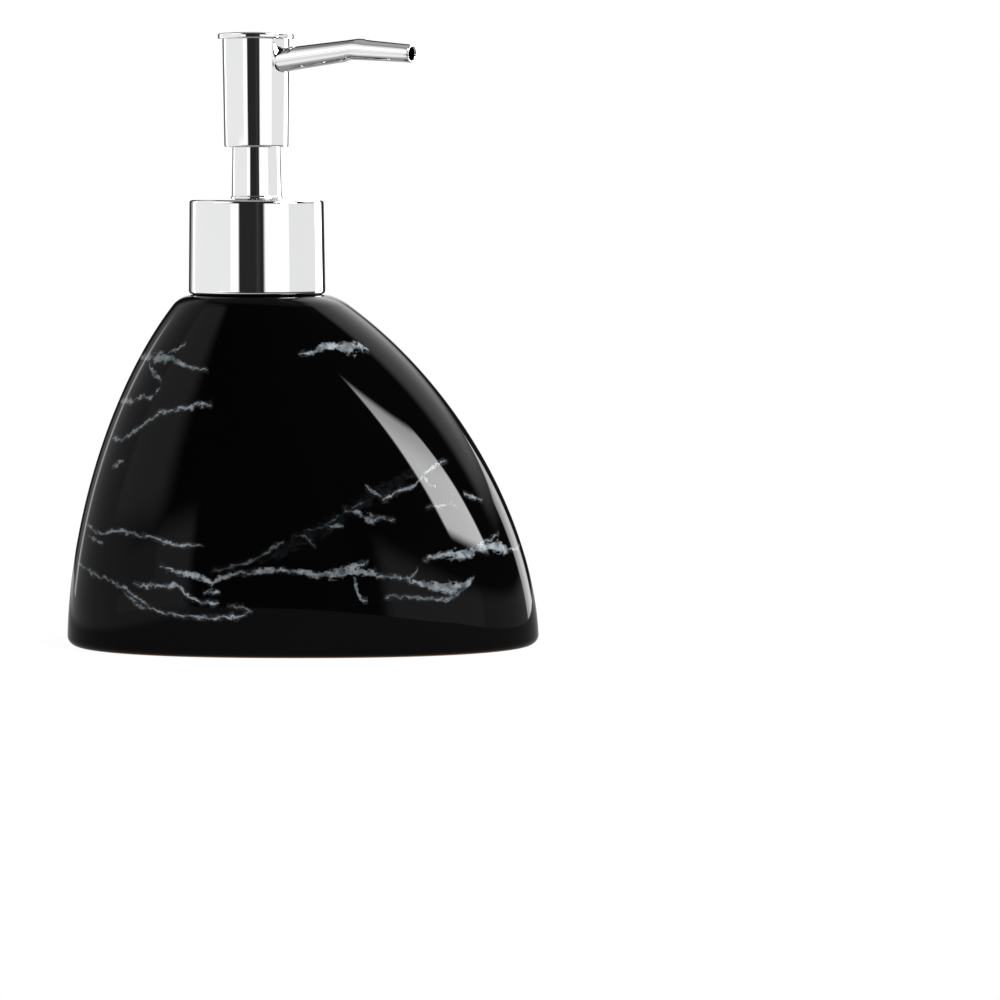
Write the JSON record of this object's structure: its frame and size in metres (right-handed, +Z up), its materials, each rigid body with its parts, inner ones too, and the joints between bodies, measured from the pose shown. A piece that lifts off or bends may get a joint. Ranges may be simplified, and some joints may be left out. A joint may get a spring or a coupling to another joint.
{
  "type": "soap pump dispenser",
  "caption": "Countertop soap dispenser: hollow leaning dome bottle on an oval foot, with a screw-on lotion pump, press head and bent spout.",
  "frame": {"origin": "centre of the foot's outline, on the surface that the bottle stands on", "axes": "+Z up along the pump, +X along the long side of the foot, away from the pump; the spout points towards +X and -Y"},
  "size_m": [0.117, 0.058, 0.1503],
  "materials": {
    "black_marbled_glaze": "high-gloss black glaze with thin smoky white veins, bare clay line at the foot",
    "chrome_cover": "mirror chrome plate",
    "chrome_head": "mirror chrome plate",
    "white_plastic": "moulded polypropylene",
    "clear_plastic": "milky translucent polyethylene",
    "piston_plastic": "soft natural polyethylene",
    "seal_rubber": "soft seal",
    "spring_steel": "drawn stainless steel"
  },
  "bodies": {
    "bottle": {"bottle_body": "black_marbled_glaze", "neck_insert": "white_plastic"},
    "pump_unit": {"neck_gasket": "seal_rubber", "pump_housing": "clear_plastic", "chaplet": "white_plastic", "wiper_seal": "seal_rubber", "stem_sleeve": "chrome_cover", "dip_tube": "clear_plastic", "ball_cage": "white_plastic", "return_spring": "spring_steel"},
    "closure": {"closure_cap": "white_plastic", "collar_shell": "chrome_cover"},
    "check_valve": {"inlet_ball": "spring_steel"},
    "plunger": {"piston": "piston_plastic"},
    "head": {"head_shell": "chrome_head", "head_cap": "chrome_head", "head_core": "white_plastic", "spout_tube": "chrome_head", "pump_stem": "white_plastic", "valve_rod": "white_plastic"}
  },
  "joints": [
    {"name": "pump_lift", "type": "slide", "parent": "bottle", "child": "pump_unit", "axis": [0, 0, 1], "range_m": [0, 0.0064]},
    {"name": "closure_turn", "type": "hinge", "parent": "pump_unit", "child": "closure", "pos_m": [-0.01109, 0, 0.1], "axis": [0, 0, 1], "range_deg": [0, 540]},
    {"name": "inlet_ball_lift", "type": "slide", "parent": "pump_unit", "child": "check_valve", "axis": [0, 0, 1], "range_m": [0, 0.0015]},
    {"name": "head_press", "type": "slide", "parent": "pump_unit", "child": "plunger", "axis": [0, 0, -1], "range_m": [0, 0.012], "stiffness_N_per_m": 450, "springref_m": -0.006, "deforming": ["return_spring"]},
    {"name": "head_swivel", "type": "hinge", "parent": "plunger", "child": "head", "pos_m": [-0.01109, 0, 0.1], "axis": [0, 0, 1], "continuous": true}
  ],
  "couplings": [
    {"joint": "pump_lift", "follows": "closure_turn", "m_per_rad": 0.00066845}
  ]
}
